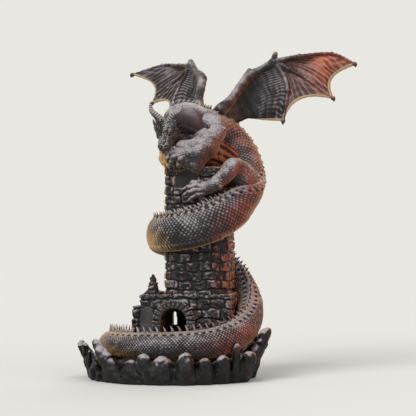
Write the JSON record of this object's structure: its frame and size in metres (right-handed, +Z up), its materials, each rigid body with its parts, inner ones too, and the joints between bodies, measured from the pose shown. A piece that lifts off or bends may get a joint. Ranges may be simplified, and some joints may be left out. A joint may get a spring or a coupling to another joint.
{
  "type": "painted miniature figure",
  "caption": "Painted tabletop figure of a horned, winged dragon coiled round a castle tower with an arched gate, on a round base ringed with leaning rocks.",
  "frame": {"origin": "middle of the flat underside of the base", "axes": "+Z up; -Y is the gate side, towards which the head turns; +X is the side the dragon's left wing spreads to"},
  "size_m": [0.1626, 0.1448, 0.1957],
  "materials": {
    "stone": "graphite-grey resin paint, drybrushed light grey, black washes",
    "hide": "graphite-grey satin paint over scales, rust-red glaze towards the dragon's left, ochre drybrush behind",
    "horn": "dark grey, lighter drybrush on the ridges",
    "belly": "rust-red glaze over dark grey plates",
    "wing_skin": "dark grey near the body, rust red to orange towards the tips"
  },
  "bodies": {
    "figure": {"rock_base": "stone", "rock_shards_back": "stone", "rock_shards_front": "stone", "tower_plinth": "stone", "gatehouse": "stone", "gate_arch": "stone", "gate_buttress": "stone", "turret_spire": "stone", "tower_lower": "stone", "tower_upper": "stone", "tower_crown": "stone", "torso": "hide", "neck": "hide", "haunch_coil": "hide", "middle_coil": "hide", "lower_coil": "hide", "tail_tip": "hide", "arm_left": "hide", "hand_left": "hide", "arm_right": "hide", "hand_right": "hide", "leg_left": "hide", "foot_left": "hide", "leg_right": "hide", "foot_right": "hide", "skull": "hide", "lower_jaw": "hide", "horn_left": "horn", "horn_right": "horn", "belly_plates": "belly"},
    "wing_left": {"wing_left_bones": "hide", "wing_left_membrane": "wing_skin"},
    "wing_right": {"wing_right_bones": "hide", "wing_right_membrane": "wing_skin"}
  },
  "joints": [
    {"name": "wing_left_pull", "type": "slide", "parent": "figure", "child": "wing_left", "axis": [0.6046, 0.3128, 0.7326], "range_m": [0, 0.012]},
    {"name": "wing_right_pull", "type": "slide", "parent": "figure", "child": "wing_right", "axis": [0.131, 0.668, 0.7326], "range_m": [0, 0.012]}
  ]
}
